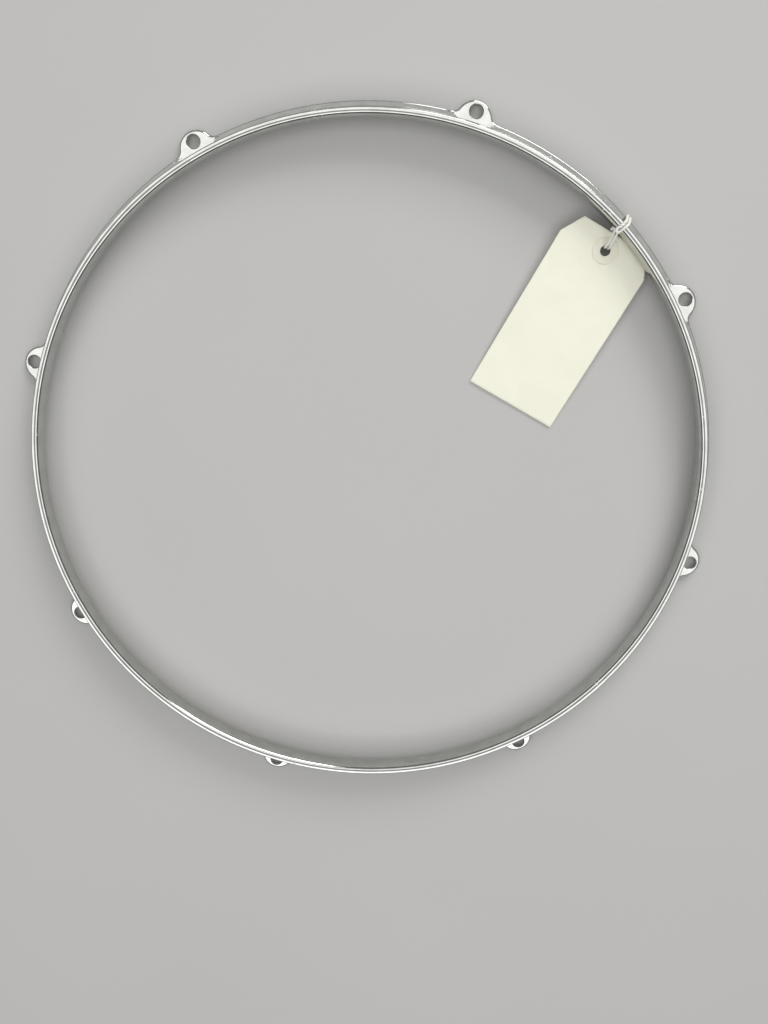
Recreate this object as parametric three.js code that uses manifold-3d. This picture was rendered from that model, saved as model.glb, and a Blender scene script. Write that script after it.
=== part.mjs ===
// A pressed-steel drum hoop with eight ears, and a blank paper tag tied to its rim with cotton string.
// Lengths are millimetres. +Z is the ring's axis with the lip on top, and the ears stand on z = 0.
import * as THREE from 'three';
import { mergeVertices } from 'three/addons/utils/BufferGeometryUtils.js';
import Module from 'manifold-3d';

const wasm = await Module();
wasm.setup();

const degree = Math.PI / 180;
const quarterTurn = 90 * degree;
const halfTurn = 180 * degree;

// Ring: one strip of sheet, with its bends and the flats between them
const sheet = 2.3;
const wallInnerRadius = 180.8;
const pressBend = 0.5;
const edgeRound = 0.7;
const lipFlat = 0.7;
const wallStraight = 6.6;
const shoulderFlat = 0.9;
const skirtStraight = 2.4;
const flangeHollow = 0.8;
const flangeSlope = 1.8;
const flangeFall = 0.5;
const ringSides = 96;
const bendSteps = 3;
const edgeSteps = 2;

// Ears: pressed out of the flange, with a turned-down rim and a hole for the tension rod
const earCount = 8;
const firstEarAngle = 30 * degree;
const earHoleRadius = 3.6;
const earHoleReach = 2.7;
const earTipWall = 1.9;
const earSideWall = 5.9;
const earFillet = 5;
const earTopRound = 1.2;
const earRimRound = 0.4;
const earRimDepth = 1.8;
const earRimWall = 1.5;
const earRootReach = 7.5;
const earShoulder = 0.6;
const noseSteps = 7;
const filletSteps = 4;
const roundSteps = 3;
const holeSides = 24;

// String: cotton, hitched round the whole section of the ring
const stringDiameter = 1.4;
const stringGap = 0.3;
const hitchAngle = 46.1 * degree;
const turnSpacing = 2;
const hitchSway = -1.5;
const innerLegDrop = 3;
const innerLegShift = 1.6;
const hitchOpening = 122 * degree;
const bightOpening = 138 * degree;
const bightStart = 0.3;
const bightStraight = 0.6;
const bightSlope = 20 * degree;
const strandSpacing = 1.75;
const strandDrop = 2.2;
const strandInset = 1.1;
const strandBend = 1.6;
const knotRadius = 1.5;
const stringSides = 8;
const arcSteps = 4;

// Tag: manila card with cut corners and a reinforcing patch on each face
const tagWidth = 52;
const tagLength = 104;
const tagThickness = 0.4;
const tagCornerWidth = 7.2;
const tagCornerLength = 12;
const tagHoleRadius = 2.75;
const tagHoleEdge = 9.5;
const patchRadius = 7;
const patchThickness = 0.3;
const patchGap = 0.3;
const patchSides = 32;
const tagHoleInset = 10;
const tagHoleShift = 4.4;
const tagHoleDrop = 0.3;
const tagFloorGap = 0.8;
const tagYaw = -27.5 * degree;
const curlDirection = 41.3 * degree;
const curlMargin = 2;
const curlClearance = 0.8;
const curlTurn = 80 * degree;
const curlSteps = 6;

// One overrun serves every cut
const overrun = 1;

// Radii and heights that follow from the sheet and its flats
const outerBend = pressBend + sheet;
const flangeOuterBend = flangeHollow + sheet;
const wallOuterRadius = wallInnerRadius + sheet;
const lipOuterRadius = wallOuterRadius + pressBend + lipFlat + edgeRound;
const skirtInnerRadius = wallInnerRadius + outerBend + shoulderFlat + pressBend;
const skirtOuterRadius = skirtInnerRadius + sheet;
const flangeOuterRadius = skirtOuterRadius + flangeHollow + flangeSlope + edgeRound;
const flangeTop = earRimDepth + sheet;
const shoulderUnder = earRimDepth + flangeOuterBend + skirtStraight + pressBend;
const shoulderTop = shoulderUnder + sheet;
const hoopHeight = shoulderUnder + outerBend + wallStraight + outerBend;
const lipUnder = hoopHeight - sheet;

// Centres of the bends and of the rounded edges, as radius and height
const lipBend = new THREE.Vector2(wallInnerRadius + outerBend, hoopHeight - outerBend);
const shoulderBend = new THREE.Vector2(wallInnerRadius + outerBend, shoulderUnder + outerBend);
const skirtBend = new THREE.Vector2(skirtInnerRadius - pressBend, shoulderUnder - pressBend);
const flangeBend = new THREE.Vector2(skirtInnerRadius + flangeOuterBend, flangeTop + flangeHollow);
const flangeEdgeLow = new THREE.Vector2(flangeOuterRadius - edgeRound, earRimDepth + edgeRound);
const flangeEdgeHigh = new THREE.Vector2(flangeOuterRadius - edgeRound, flangeTop - flangeFall - edgeRound);
const lipEdgeLow = new THREE.Vector2(lipOuterRadius - edgeRound, lipUnder + edgeRound);
const lipEdgeHigh = new THREE.Vector2(lipOuterRadius - edgeRound, hoopHeight - edgeRound);

// Points on an arc from one angle to another, both ends included
function arc(centre, radius, from, to, steps) {
  return Array.from({ length: steps + 1 }, (_, i) => {
    const angle = from + (to - from) * (i / steps);
    return new THREE.Vector2(centre.x + radius * Math.cos(angle), centre.y + radius * Math.sin(angle));
  });
}

function circle(radius, sides) {
  return arc(new THREE.Vector2(), radius, 0, 2 * halfTurn, sides).slice(0, sides);
}

// Merged vertices of a geometry, as a solid whose faces point out
function solidOf(geometry) {
  const bare = new THREE.BufferGeometry();
  bare.setAttribute('position', geometry.getAttribute('position').clone());
  if (geometry.index) bare.setIndex(geometry.index.clone());
  const merged = mergeVertices(bare);
  const vertProperties = new Float32Array(merged.getAttribute('position').array);
  const triVerts = new Uint32Array(merged.index.array);
  const made = new wasm.Manifold(new wasm.Mesh({ numProp: 3, vertProperties, triVerts }));
  if (made.volume() > 0) return made;
  for (let i = 0; i < triVerts.length; i += 3) {
    [triVerts[i], triVerts[i + 1]] = [triVerts[i + 1], triVerts[i]];
  }
  return new wasm.Manifold(new wasm.Mesh({ numProp: 3, vertProperties, triVerts }));
}

// The solid's vertices and triangles as a three.js geometry
function geometryOf(solid) {
  const { vertProperties, triVerts } = solid.getMesh();
  const geometry = new THREE.BufferGeometry();
  geometry.setAttribute('position', new THREE.BufferAttribute(new Float32Array(vertProperties), 3));
  geometry.setIndex(new THREE.BufferAttribute(new Uint32Array(triVerts), 1));
  geometry.computeVertexNormals();
  return geometry;
}

function named(name, geometry, material) {
  const mesh = new THREE.Mesh(geometryOf(solidOf(geometry)), material);
  mesh.name = name;
  return mesh;
}

// A closed body through outlines of equal length, each at its own height
function loft(levels) {
  const count = levels[0].outline.length;
  const positions = levels.flatMap(({ outline, z }) => outline.flatMap((p) => [p.x, p.y, z]));
  const indices = [];
  for (let level = 0; level + 1 < levels.length; level += 1) {
    for (let i = 0; i < count; i += 1) {
      const a = level * count + i;
      const b = level * count + ((i + 1) % count);
      indices.push(a, b, b + count, a, b + count, a + count);
    }
  }
  const top = (levels.length - 1) * count;
  for (const [a, b, c] of THREE.ShapeUtils.triangulateShape(levels[0].outline, [])) indices.push(a, c, b);
  for (const [a, b, c] of THREE.ShapeUtils.triangulateShape(levels.at(-1).outline, [])) {
    indices.push(top + a, top + b, top + c);
  }
  const geometry = new THREE.BufferGeometry();
  geometry.setAttribute('position', new THREE.Float32BufferAttribute(positions, 3));
  geometry.setIndex(indices);
  return geometry;
}

function tube(points, diameter, steps) {
  const section = new THREE.Shape(circle(diameter / 2, stringSides));
  const path = new THREE.CatmullRomCurve3(points, false, 'centripetal');
  return new THREE.ExtrudeGeometry(section, { steps, extrudePath: path });
}

// The strip's section: down the inside of the ring and up its outside
function ringProfile() {
  return [
    ...arc(lipBend, outerBend, quarterTurn, halfTurn, bendSteps),
    ...arc(shoulderBend, outerBend, halfTurn, 3 * quarterTurn, bendSteps),
    ...arc(skirtBend, pressBend, quarterTurn, 0, 1),
    ...arc(flangeBend, flangeOuterBend, halfTurn, 3 * quarterTurn, bendSteps),
    ...arc(flangeEdgeLow, edgeRound, -quarterTurn, 0, edgeSteps),
    ...arc(flangeEdgeHigh, edgeRound, 0, quarterTurn, edgeSteps),
    ...arc(flangeBend, flangeHollow, -quarterTurn, -halfTurn, edgeSteps),
    ...arc(skirtBend, outerBend, 0, quarterTurn, bendSteps),
    ...arc(shoulderBend, pressBend, -quarterTurn, -halfTurn, 1),
    ...arc(lipBend, pressBend, halfTurn, quarterTurn, 1),
    ...arc(lipEdgeLow, edgeRound, -quarterTurn, 0, edgeSteps),
    ...arc(lipEdgeHigh, edgeRound, 0, quarterTurn, edgeSteps),
  ];
}

function ring() {
  const profile = ringProfile();
  const lathe = new THREE.LatheGeometry([...profile, profile[0].clone()], ringSides);
  lathe.rotateX(quarterTurn);
  return solidOf(lathe);
}

// Where an ear's nose, its hole and its two fillets lie, with x along the ring and y outwards
const earHoleCircle = flangeOuterRadius + earHoleReach;
const noseRadius = earHoleRadius + earSideWall;
const noseCentre = new THREE.Vector2(0, earHoleCircle + earHoleRadius + earTipWall - noseRadius);
const filletCircle = flangeOuterRadius + earFillet;
const filletSpread = Math.acos(
  (noseCentre.y ** 2 + filletCircle ** 2 - (noseRadius + earFillet) ** 2) / (2 * noseCentre.y * filletCircle),
);
const earRootRadius = skirtInnerRadius + sheet / 2;

function polar(radius, spread) {
  return new THREE.Vector2(radius * Math.sin(spread), radius * Math.cos(spread));
}

// An ear seen from above, drawn in by an inset, from its root on the skirt to the tip and back
function earOutline(inset, rootRadius, rootSpread, edgeSpread) {
  const filletCentre = polar(filletCircle, filletSpread);
  const toNose = noseCentre.clone().sub(filletCentre);
  const noseAngle = Math.atan2(-toNose.y, -toNose.x);
  const half = [
    polar(rootRadius, rootSpread),
    polar(flangeOuterRadius - inset, edgeSpread),
    ...arc(filletCentre, earFillet + inset, -quarterTurn - filletSpread, noseAngle - halfTurn, filletSteps),
    ...arc(noseCentre, noseRadius - inset, noseAngle, quarterTurn, noseSteps).slice(1),
  ];
  const mirrored = half.slice(0, -1).reverse().map((p) => new THREE.Vector2(-p.x, p.y));
  return [...half, ...mirrored];
}

function ear() {
  const rootSpread = earRootReach / earRootRadius;
  const edgeSpread = filletSpread + earShoulder / flangeOuterRadius;
  const at = (inset, z) => ({ outline: earOutline(inset, earRootRadius, rootSpread, edgeSpread), z });
  const crownCentre = new THREE.Vector2(earTopRound, flangeTop - earTopRound);
  const crown = arc(crownCentre, earTopRound, halfTurn, quarterTurn, roundSteps);
  const body = loft([at(earRimRound, 0), at(0, earRimRound), ...crown.map((p) => at(p.x, p.y))]);
  const pocketSpread = edgeSpread + overrun / flangeOuterRadius;
  const pocketOutline = earOutline(earRimWall, earRootRadius - overrun, pocketSpread, pocketSpread);
  const pocket = loft([{ outline: pocketOutline, z: -overrun }, { outline: pocketOutline, z: earRimDepth }]);
  return solidOf(body).subtract(solidOf(pocket));
}

function earHole() {
  const depth = flangeTop + 2 * overrun;
  const hole = new THREE.CylinderGeometry(earHoleRadius, earHoleRadius, depth, holeSides);
  hole.rotateX(quarterTurn);
  hole.translate(0, earHoleCircle, depth / 2 - overrun);
  return solidOf(hole);
}

function hoop() {
  let body = ring();
  for (let i = 0; i < earCount; i += 1) {
    const turn = ((firstEarAngle - quarterTurn) / degree) + (360 / earCount) * i;
    body = body.add(ear().rotate([0, 0, turn]));
    body = body.subtract(earHole().rotate([0, 0, turn]));
  }
  return geometryOf(body);
}

// The string's own frame: outwards from the ring's axis, along the ring, and up
const outwards = new THREE.Vector3(Math.cos(hitchAngle), Math.sin(hitchAngle), 0);
const along = new THREE.Vector3(-Math.sin(hitchAngle), Math.cos(hitchAngle), 0);

function hitchPoint(radius, side, height) {
  return outwards.clone().multiplyScalar(radius).addScaledVector(along, side).setZ(height);
}

const stringOffset = stringDiameter / 2 + stringGap;
const lipTurnRadius = outerBend + stringOffset;
const bightPivot = arc(lipBend, lipTurnRadius, bightOpening, bightOpening, 1)[0];
const strandTop = new THREE.Vector2(bightPivot.x - strandInset, bightPivot.y - strandDrop);

// Angle at which a straight line leaves one round and reaches the next, on the right of the way it goes
function tangentAngle(from, fromRadius, to, toRadius) {
  const line = to.clone().sub(from);
  return line.angle() - Math.acos((fromRadius - toRadius) / line.length());
}

// Once round the ring's section: up the outside from the inner leg, over the lip and back to the inside
function turnRoute(innerSide, outerSide) {
  const undercut = tangentAngle(shoulderBend, outerBend, flangeBend, flangeOuterBend);
  const rise = tangentAngle(flangeEdgeHigh, edgeRound, lipEdgeHigh, edgeRound);
  const edgeTurn = edgeRound + stringOffset;
  const section = [
    new THREE.Vector2(wallInnerRadius - stringOffset, lipBend.y - innerLegDrop + stringOffset),
    ...arc(shoulderBend, outerBend + stringOffset, halfTurn, undercut, edgeSteps),
    ...arc(flangeBend, flangeOuterBend + stringOffset, undercut, 3 * quarterTurn, edgeSteps),
    ...arc(flangeEdgeLow, edgeTurn, -quarterTurn, 0, arcSteps),
    ...arc(flangeEdgeHigh, edgeTurn, 0, rise, 1),
    ...arc(lipEdgeHigh, edgeTurn, rise, quarterTurn, arcSteps),
    ...arc(lipBend, lipTurnRadius, quarterTurn, hitchOpening, edgeSteps),
  ];
  const lengths = section.map((p, i) => (i ? p.distanceTo(section[i - 1]) : 0));
  const total = lengths.reduce((sum, length) => sum + length, 0);
  let run = 0;
  return section.map((p, i) => {
    run += lengths[i];
    const share = run / total;
    const side = THREE.MathUtils.lerp(innerSide, outerSide, share) + hitchSway * Math.sin(halfTurn * share);
    return hitchPoint(p.x, side, p.y);
  });
}

// The small bend of the loop that holds the strands, from one turn's end to the other's
function bightRoute() {
  const reach = turnSpacing / 2;
  const point = (distance, side) => hitchPoint(
    bightPivot.x - distance * Math.cos(bightSlope), side, bightPivot.y - distance * Math.sin(bightSlope),
  );
  const bend = arc(new THREE.Vector2(), reach, 0, halfTurn, 2 * arcSteps);
  return [
    point(-bightStart, reach),
    ...bend.map((p) => point(bightStraight + p.y, p.x)),
    point(-bightStart, -reach),
  ];
}

// The tag's hole, where the strands go through, as a radius, a side and a height of the string's frame
const tagHoleRadiusAt = wallInnerRadius - tagHoleInset;
const tagHoleHeight = shoulderUnder - tagHoleDrop;
const tagHoleCentre = hitchPoint(tagHoleRadiusAt, -tagHoleShift, tagHoleHeight);
const holeToHitch = new THREE.Vector2(strandTop.x - tagHoleRadiusAt, tagHoleShift).normalize();
const strandSide = new THREE.Vector2(-holeToHitch.y, holeToHitch.x);
const strandInHole = Math.sqrt((tagHoleRadius - stringOffset) ** 2 - (strandSpacing / 2) ** 2);
const strandMiddle = new THREE.Vector2(tagHoleRadiusAt, -tagHoleShift);
strandMiddle.addScaledVector(holeToHitch, strandInHole);
const patchFace = tagThickness / 2 + patchGap + patchThickness;

// From under the bight, down across the tag's top edge and through its hole to the knot
function strandRoute(side) {
  const hole = strandMiddle.clone().addScaledVector(strandSide, side);
  const upper = new THREE.Vector2(strandTop.x, side);
  const entry = tagHoleHeight + patchFace + strandBend;
  const lean = (share) => upper.clone().lerp(hole, share);
  const height = (share) => THREE.MathUtils.lerp(strandTop.y, entry, share);
  const freeShares = [0, 0.33, 0.66, 0.9];
  return [
    ...freeShares.map((share) => hitchPoint(lean(share).x, lean(share).y, height(share))),
    hitchPoint(hole.x, hole.y, tagHoleHeight + patchFace),
    hitchPoint(hole.x, hole.y, tagHoleHeight),
    hitchPoint(hole.x, hole.y, tagHoleHeight - patchFace - stringGap),
  ];
}

function knot() {
  const lump = new THREE.SphereGeometry(knotRadius, 2 * stringSides, stringSides);
  const height = tagHoleHeight - patchFace - 2 * stringGap - knotRadius;
  const place = hitchPoint(strandMiddle.x, strandMiddle.y, height);
  return lump.translate(place.x, place.y, place.z);
}

// The tag in its own frame: x across, y towards its top edge, z out of its face, and the hole at the origin
function tagOutline() {
  const right = tagWidth / 2;
  const top = tagHoleEdge;
  const bottom = tagHoleEdge - tagLength;
  return new THREE.Shape([
    new THREE.Vector2(-right, bottom),
    new THREE.Vector2(right, bottom),
    new THREE.Vector2(right, top - tagCornerLength),
    new THREE.Vector2(right - tagCornerWidth, top),
    new THREE.Vector2(tagCornerWidth - right, top),
    new THREE.Vector2(-right, top - tagCornerLength),
  ]);
}

function roundHole(radius) {
  return new THREE.Path(circle(radius, patchSides));
}

// The card's section square to the curl: flat, then turned down so that it clears the skirt
function curlProfile() {
  const start = patchRadius + curlMargin;
  const holeDistance = tagHoleCentre.x * Math.cos(curlDirection) + tagHoleCentre.y * Math.sin(curlDirection);
  const reach = skirtInnerRadius - curlClearance - holeDistance - start;
  const radius = reach / Math.sin(curlTurn) - tagThickness / 2;
  const centre = new THREE.Vector2(start, -radius);
  const over = arc(centre, radius + tagThickness / 2, quarterTurn, quarterTurn - curlTurn, curlSteps);
  const under = arc(centre, radius - tagThickness / 2, quarterTurn - curlTurn, quarterTurn, curlSteps);
  const far = new THREE.Vector2(-tagLength - tagWidth, tagThickness / 2);
  return new THREE.Shape([far, ...over, ...under, new THREE.Vector2(far.x, -far.y)]);
}

function tagCard() {
  const depth = 2 * tagLength;
  const strip = new THREE.ExtrudeGeometry(curlProfile(), { depth, bevelEnabled: false });
  strip.translate(0, 0, -depth / 2);
  strip.rotateX(quarterTurn);
  strip.rotateZ(curlDirection - tagYaw);
  const outline = tagOutline();
  outline.holes.push(roundHole(tagHoleRadius));
  const height = 2 * tagHoleHeight;
  const cutter = new THREE.ExtrudeGeometry(outline, { depth: height, bevelEnabled: false });
  cutter.translate(0, 0, -height / 2);
  return geometryOf(solidOf(strip).intersect(solidOf(cutter)));
}

function patch(face) {
  const disc = new THREE.Shape(circle(patchRadius, patchSides));
  disc.holes.push(roundHole(tagHoleRadius));
  const geometry = new THREE.ExtrudeGeometry(disc, { depth: patchThickness, bevelEnabled: false });
  const lift = face > 0 ? tagThickness / 2 + patchGap : -patchFace;
  return geometry.translate(0, 0, lift);
}

const chrome = new THREE.MeshStandardMaterial({ color: 0xc8cacc, roughness: 0.12, metalness: 1 });
const cotton = new THREE.MeshStandardMaterial({ color: 0xe9e7df, roughness: 0.95, metalness: 0 });
const manila = new THREE.MeshStandardMaterial({ color: 0xe8e5d6, roughness: 0.9, metalness: 0 });
const patchPaper = new THREE.MeshStandardMaterial({ color: 0xe3dfd0, roughness: 0.85, metalness: 0 });

const drumHoop = new THREE.Group();
drumHoop.add(named('hoop', hoop(), chrome));

const turnSteps = 34;
const bightSteps = 12;
const strandSteps = 14;
[-1, 1].forEach((sign, i) => {
  const turn = turnRoute(innerLegShift + sign * strandSpacing / 2, sign * turnSpacing / 2);
  drumHoop.add(named(`string_turn_${i + 1}`, tube(turn, stringDiameter, turnSteps), cotton));
});
drumHoop.add(named('string_bight', tube(bightRoute(), stringDiameter, bightSteps), cotton));
[-1, 1].forEach((sign, i) => {
  const strand = strandRoute(sign * strandSpacing / 2);
  drumHoop.add(named(`string_strand_${i + 1}`, tube(strand, stringDiameter, strandSteps), cotton));
});
drumHoop.add(named('string_knot', knot(), cotton));

// The tag hangs at its hole, turned about the ring's axis and tipped down to the surface below
const tagYawed = new THREE.Group();
tagYawed.position.copy(tagHoleCentre);
tagYawed.rotation.z = tagYaw;
const tagTipped = new THREE.Group();
tagTipped.rotation.x = Math.asin((tagHoleHeight - tagFloorGap) / (tagLength - tagHoleEdge));
tagTipped.add(named('tag_card', tagCard(), manila));
tagTipped.add(named('tag_patch_front', patch(1), patchPaper));
tagTipped.add(named('tag_patch_back', patch(-1), patchPaper));
tagYawed.add(tagTipped);
drumHoop.add(tagYawed);

export default drumHoop;
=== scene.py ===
"""A chromed, pressed-steel drum hoop lying lip up, with a blank manila tag strung to its rim.

Lengths are millimetres until a mesh is made. +Z is the ring's axis, the lip is on top, and the ears stand on
z = 0. A section through the ring is drawn as (radius, height)."""
import math

import bmesh
import bpy
from mathutils import Matrix, Vector, noise
from mathutils.geometry import delaunay_2d_cdt


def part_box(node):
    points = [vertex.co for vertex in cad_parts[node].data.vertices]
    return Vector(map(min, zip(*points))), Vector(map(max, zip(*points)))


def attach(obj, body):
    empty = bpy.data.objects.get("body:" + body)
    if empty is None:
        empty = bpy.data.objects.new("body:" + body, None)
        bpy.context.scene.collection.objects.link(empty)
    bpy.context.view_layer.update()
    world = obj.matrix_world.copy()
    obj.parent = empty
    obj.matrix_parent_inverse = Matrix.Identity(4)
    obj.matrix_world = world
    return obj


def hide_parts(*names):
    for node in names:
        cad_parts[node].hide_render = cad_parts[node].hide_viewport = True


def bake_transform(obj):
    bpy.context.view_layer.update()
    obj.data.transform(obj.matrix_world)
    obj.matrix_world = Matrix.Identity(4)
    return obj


MM = 0.001
FULL = 2 * math.pi
HALF = math.pi
QUARTER = math.pi / 2

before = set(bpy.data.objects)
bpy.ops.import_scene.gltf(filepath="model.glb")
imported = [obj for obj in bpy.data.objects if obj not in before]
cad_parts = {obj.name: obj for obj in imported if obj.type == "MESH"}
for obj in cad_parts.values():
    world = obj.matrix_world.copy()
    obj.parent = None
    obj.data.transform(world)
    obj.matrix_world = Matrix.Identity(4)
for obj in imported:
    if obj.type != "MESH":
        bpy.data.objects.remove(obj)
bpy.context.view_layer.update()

# Ring: one strip of sheet, with its bends and the flats between them
SHEET = 2.3
WALL_INNER_RADIUS = 180.8
PRESS_BEND = 0.5
EDGE_ROUND = 0.7
LIP_FLAT = 0.7
WALL_STRAIGHT = 6.6
SHOULDER_FLAT = 0.9
SKIRT_STRAIGHT = 2.4
FLANGE_HOLLOW = 0.8
FLANGE_SLOPE = 1.8
FLANGE_FALL = 0.5
RIM_DEPTH = 1.8

OUTER_BEND = PRESS_BEND + SHEET
FLANGE_OUTER_BEND = FLANGE_HOLLOW + SHEET
LIP_OUTER_RADIUS = WALL_INNER_RADIUS + SHEET + PRESS_BEND + LIP_FLAT + EDGE_ROUND
SKIRT_INNER_RADIUS = WALL_INNER_RADIUS + OUTER_BEND + SHOULDER_FLAT + PRESS_BEND
FLANGE_OUTER_RADIUS = SKIRT_INNER_RADIUS + SHEET + FLANGE_HOLLOW + FLANGE_SLOPE + EDGE_ROUND
FLANGE_TOP = RIM_DEPTH + SHEET
SHOULDER_UNDER = RIM_DEPTH + FLANGE_OUTER_BEND + SKIRT_STRAIGHT + PRESS_BEND
HOOP_HEIGHT = SHOULDER_UNDER + OUTER_BEND + WALL_STRAIGHT + OUTER_BEND
LIP_UNDER = HOOP_HEIGHT - SHEET

LIP_BEND = (WALL_INNER_RADIUS + OUTER_BEND, HOOP_HEIGHT - OUTER_BEND)
SHOULDER_BEND = (WALL_INNER_RADIUS + OUTER_BEND, SHOULDER_UNDER + OUTER_BEND)
SKIRT_BEND = (SKIRT_INNER_RADIUS - PRESS_BEND, SHOULDER_UNDER - PRESS_BEND)
FLANGE_BEND = (SKIRT_INNER_RADIUS + FLANGE_OUTER_BEND, FLANGE_TOP + FLANGE_HOLLOW)
FLANGE_EDGE_LOW = (FLANGE_OUTER_RADIUS - EDGE_ROUND, RIM_DEPTH + EDGE_ROUND)
FLANGE_EDGE_HIGH = (FLANGE_OUTER_RADIUS - EDGE_ROUND, FLANGE_TOP - FLANGE_FALL - EDGE_ROUND)
LIP_EDGE_LOW = (LIP_OUTER_RADIUS - EDGE_ROUND, LIP_UNDER + EDGE_ROUND)
LIP_EDGE_HIGH = (LIP_OUTER_RADIUS - EDGE_ROUND, HOOP_HEIGHT - EDGE_ROUND)

# Ears: pressed out of the flange, with a turned-down rim
EAR_COUNT = 8
FIRST_EAR = math.radians(30)
EAR_HOLE_RADIUS = 3.6
EAR_HOLE_REACH = 2.7
EAR_HOLE_CIRCLE = FLANGE_OUTER_RADIUS + EAR_HOLE_REACH
NOSE_RADIUS = 9.5
NOSE_REACH = 189.3
EAR_FILLET = 5
PAD_ROOT = 7.5
PAD_BLEND = 1.3
EAR_CROWN = 1.2
EAR_RIM_ROUND = 0.4
EAR_RIM_WALL = 1.5
EAR_RIM_FILLET = 0.5
EAR_RIM_DRAFT = 0.1
HOLE_LIP_ROUND = 0.5
FILLET_CIRCLE = FLANGE_OUTER_RADIUS + EAR_FILLET
EAR_SPREAD = math.acos(
    (NOSE_REACH ** 2 + FILLET_CIRCLE ** 2 - (NOSE_RADIUS + EAR_FILLET) ** 2)
    / (2 * NOSE_REACH * FILLET_CIRCLE)
)

# The share of an ear's fillet along which its edge turns down, and where rows lie across the flange's top
TURN_DOWN_SHARE = 0.7
TOP_SHARES = (0.15, 0.35, 0.55, 0.75)

# Angles between faces above which an edge of the steel, or of the paper, stays sharp
STEEL_CREASE = math.radians(40)
PAPER_CREASE = math.radians(50)

# Spots on the inner wall where dirt has gathered: turn, height and radius
DIRTY_SPOTS = [
    (math.radians(268.6), 13, 2.4),
    (math.radians(297), 13, 2.6),
    (math.radians(96), 16, 2.4),
]

# String: its thickness, its clearance, and where it is hitched
STRING_DIAMETER = 1.4
STRING_GAP = 0.3
HITCH_ANGLE = math.radians(46.1)

# The two turns round the ring: how far apart, how far they bow sideways, where they end over the lip, and how
# their inner legs lie on the wall
TURN_SPACING = 2
TURN_SWAY = -1.5
TURN_END = math.radians(136)
INNER_LEG_SHIFT = 1.6
INNER_LEG_DROP = 3

# The bight that joins the turns, past the lip
BIGHT_OPENING = math.radians(138)
BIGHT_SLOPE = math.radians(20)
BIGHT_LEAD = 0.3
BIGHT_STRAIGHT = 0.6

# The two strands to the tag, from under the bight, over the patch and through the hole
STRAND_SPACING = 1.75
STRAND_DROP = 2.2
STRAND_INSET = 1.1
STRAND_BEND = 1.6
STRAND_LIFT = 0.3
STRAND_TUCK = 1
STRAND_SHARES = (0, 0.33, 0.66, 0.9)

# The necks: how far below the lip's bend they start and leave the wall, and how far out and down they fold.
# The points beyond the fold are outwards, along the ring and up from a strand's top
NECK_START_DROP = 2.6
NECK_FREE_DROP = 1.8
NECK_FOLD = (0.15, 0.7)
NECK_POINTS = [(0.35, 0, 0.15), (-0.35, 0, -0.3), (-0.9, -0.15, -0.95)]

# The knot under the tag: how far it is pulled towards the ring, how close together its strands enter it, what
# its yarn takes of its reach, and its depth
KNOT_TUCK = 1.9
KNOT_ENTRY_SHARE = 0.4
KNOT_MARGIN = 0.45
KNOT_DEPTH = 1.6

# Yarn of three plies: its thickness slack, taut and in the knot, and the length of one twist
PLIES = 3
PLY_TURN = 3.8
SLACK_YARN = 1.43
TAUT_YARN = 1.15
KNOT_YARN = 0.95

# A ply's thickness, against one that only touches the others, and at the first points from a cut end
PLY_PRESS = 1.12
BLUNT_SHARES = (0.55, 0.775, 1)

# How uneven the plies are: a share, waves to the millimetre, and a place in the noise for each yarn and ply
SWAY_SHARE = 0.08
SWAY_WAVES = 0.9
SWAY_PLACES = 7
SWELL_SHARE = 0.1
SWELL_WAVES = 2
SWELL_PLACES = 5
SWELL_LAYER = 3

# Tag: manila card with cut corners and a reinforcing patch on each face
TAG_WIDTH = 52
TAG_LENGTH = 104
TAG_THICKNESS = 0.4
TAG_CORNER = (7.2, 12)
TAG_HOLE_RADIUS = 2.75
TAG_HOLE_EDGE = 9.5
PATCH_RADIUS = 7
PATCH_THICKNESS = 0.3
TAG_HOLE_INSET = 10
TAG_HOLE_SHIFT = 4.4
TAG_HOLE_DROP = 0.3
TAG_FLOOR_GAP = 0.8
TAG_YAW = math.radians(-27.5)

# The corner by the ring is curled down: which way, how far round, and how clear of the patch and the skirt
CURL_DIRECTION = math.radians(41.3)
CURL_TURN = math.radians(80)
CURL_CLEARANCE = 0.8
CURL_MARGIN = 2
CURL_START = PATCH_RADIUS + CURL_MARGIN
CURL = Vector((math.cos(CURL_DIRECTION - TAG_YAW), math.sin(CURL_DIRECTION - TAG_YAW)))

# The card's slow waves: height, waves to the millimetre each way, place in the noise, and where they fade out
CARD_WAVE = 0.12
CARD_WAVES = (0.035, 0.03)
CARD_WAVE_LAYER = 4
CARD_WAVE_FADE = 20

# Paper's soft edges, as shares of its thickness and of half of it, and the patches' lift off the card
EDGE_DRAWN_BACK_SHARE = 0.3
EDGE_FLAT_SHARE = 0.45
PATCH_LIFT = 0.02

# Colours as they show on a screen, from 0 to 255
PLATE_LIGHT = (199, 200, 196)
PLATE_DARK = (189, 190, 186)
DUST = (226, 224, 216)
MANILA_LIGHT = (246, 245, 228)
MANILA_DARK = (243, 242, 224)
PATCH_LIGHT = (241, 239, 222)
PATCH_DARK = (238, 236, 218)
PAPER_FLECK = (196, 186, 160)
COTTON_LIGHT = (252, 251, 246)
COTTON_DARK = (238, 236, 227)
FLOOR_DARK = (190, 189, 187)
FLOOR_LIGHT = (193, 192, 190)


def round_point(centre, radius, angle):
    return (centre[0] + radius * math.cos(angle), centre[1] + radius * math.sin(angle))


def arc(centre, radius, start, end, steps):
    """Points on an arc from one angle to another, both ends included."""
    return [round_point(centre, radius, start + (end - start) * i / steps) for i in range(steps + 1)]


def smooth(x):
    """Eases from 0 to 1 while x goes from 0 to 1."""
    x = min(max(x, 0), 1)
    return x * x * (3 - 2 * x)


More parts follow.
